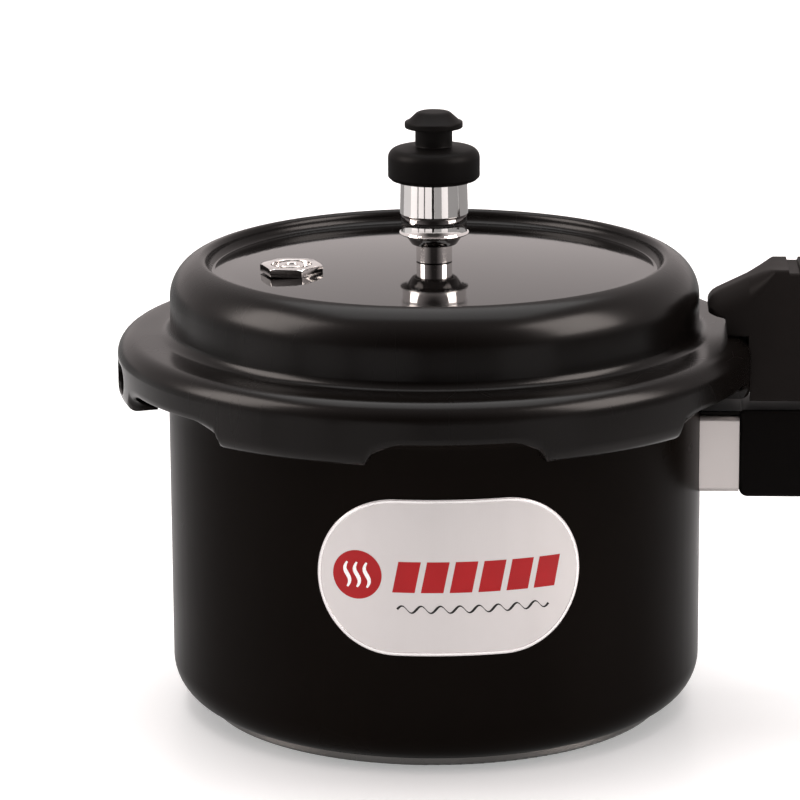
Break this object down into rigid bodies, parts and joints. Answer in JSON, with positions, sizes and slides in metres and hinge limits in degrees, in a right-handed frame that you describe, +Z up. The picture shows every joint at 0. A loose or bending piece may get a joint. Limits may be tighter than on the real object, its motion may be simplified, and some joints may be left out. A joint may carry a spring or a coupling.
{
  "type": "stovetop pressure cooker",
  "caption": "Black stovetop pressure cooker with an outer bayonet lid, twin long handles, a hexagonal safety valve and a lift-off vent weight.",
  "frame": {"origin": "centre of the base disc's lower face, on the surface that the cooker stands on", "axes": "+Z up along the pot's axis, +X along the handles, away from the pot"},
  "size_m": [0.3588, 0.2376, 0.2254],
  "materials": {
    "black_aluminium": "gloss black hard anodised",
    "base_aluminium": "satin dark",
    "bracket_steel": "plated sheet",
    "rivet_aluminium": "bright",
    "ferrule_steel": "satin",
    "bakelite": "satin moulded phenolic",
    "label_foil": "matt silver foil",
    "gasket_rubber": "matt nitrile",
    "chromed_brass": "mirror",
    "valve_metal": "bright turned",
    "fuse_alloy": "dull alloy",
    "washer_silicone": "matt silicone",
    "screw_steel": "zinc plated"
  },
  "bodies": {
    "pot": {"pot_body": "black_aluminium", "base_plate": "base_aluminium", "pot_bracket": "bracket_steel", "pot_bracket_rivets": "rivet_aluminium", "handle_ferrule": "ferrule_steel", "lower_handle": "bakelite", "lower_handle_screws": "screw_steel", "label_plate": "label_foil"},
    "seal": {"gasket": "gasket_rubber"},
    "lid": {"lid": "black_aluminium", "vent_tube": "chromed_brass", "vent_washer": "washer_silicone", "vent_nut": "valve_metal", "valve_body": "valve_metal", "valve_fuse": "fuse_alloy", "valve_washer": "washer_silicone", "valve_nut": "valve_metal", "lid_bracket": "bracket_steel", "lid_bracket_rivets": "rivet_aluminium", "upper_handle": "bakelite", "upper_handle_screws": "screw_steel"},
    "clip": {"weight_clip": "screw_steel"},
    "weight": {"weight_body": "chromed_brass", "weight_seat": "screw_steel", "weight_stud": "screw_steel", "weight_knob": "bakelite"}
  },
  "joints": [
    {"name": "lid_lift", "type": "slide", "parent": "pot", "child": "seal", "axis": [0, 0, 1], "range_m": [0, 0.12]},
    {"name": "lid_turn", "type": "hinge", "parent": "seal", "child": "lid", "pos_m": [0, 0, 0.13], "axis": [0, 0, 1], "range_deg": [0, 30]},
    {"name": "weight_lift", "type": "slide", "parent": "lid", "child": "clip", "axis": [0, 0, 1], "range_m": [0, 0.03]},
    {"name": "weight_spin", "type": "hinge", "parent": "clip", "child": "weight", "pos_m": [0, 0, 0.18], "axis": [0, 0, 1], "continuous": true}
  ]
}
